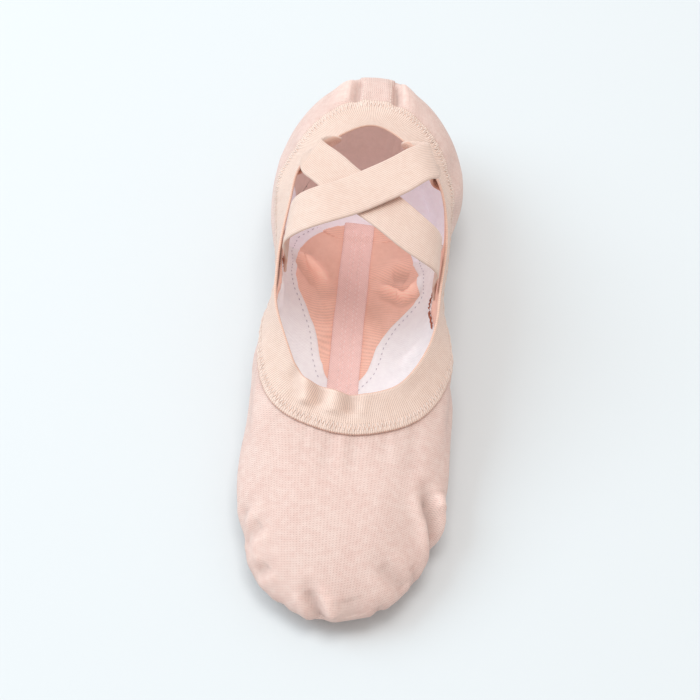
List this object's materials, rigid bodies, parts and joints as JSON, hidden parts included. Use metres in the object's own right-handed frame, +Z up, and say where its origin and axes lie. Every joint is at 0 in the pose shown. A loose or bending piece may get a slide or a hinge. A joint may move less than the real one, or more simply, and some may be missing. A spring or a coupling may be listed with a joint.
{
  "type": "ballet shoe",
  "caption": "Soft canvas ballet slipper with a split suede sole, an elastic collar band, a back strip and two elastic straps that cross over the instep.",
  "frame": {"origin": "middle of the overall box, on the floor under the soles", "axes": "+Y from toe to heel, +X to the shoe's right seen from behind the toe looking at the heel, +Z up"},
  "size_m": [0.0802, 0.244, 0.0692],
  "materials": {
    "canvas": "matt stretch canvas, pale pink",
    "elastic": "ribbed elastic with a soft sheen, pale peach pink",
    "tape": "woven tape, dusty mauve pink",
    "suede": "split suede, beige grey, slightly worn",
    "lining": "matt cotton lining, off white",
    "sock": "brushed heel sock, mauve brown"
  },
  "bodies": {
    "root": {"upper": "canvas", "back_strip": "canvas", "collar_band": "elastic", "strap_over": "elastic", "strap_under": "elastic", "arch_tape": "tape", "forefoot_sole": "suede", "heel_sole": "suede", "forefoot_insole": "lining", "heel_insole": "sock"}
  },
  "joints": []
}
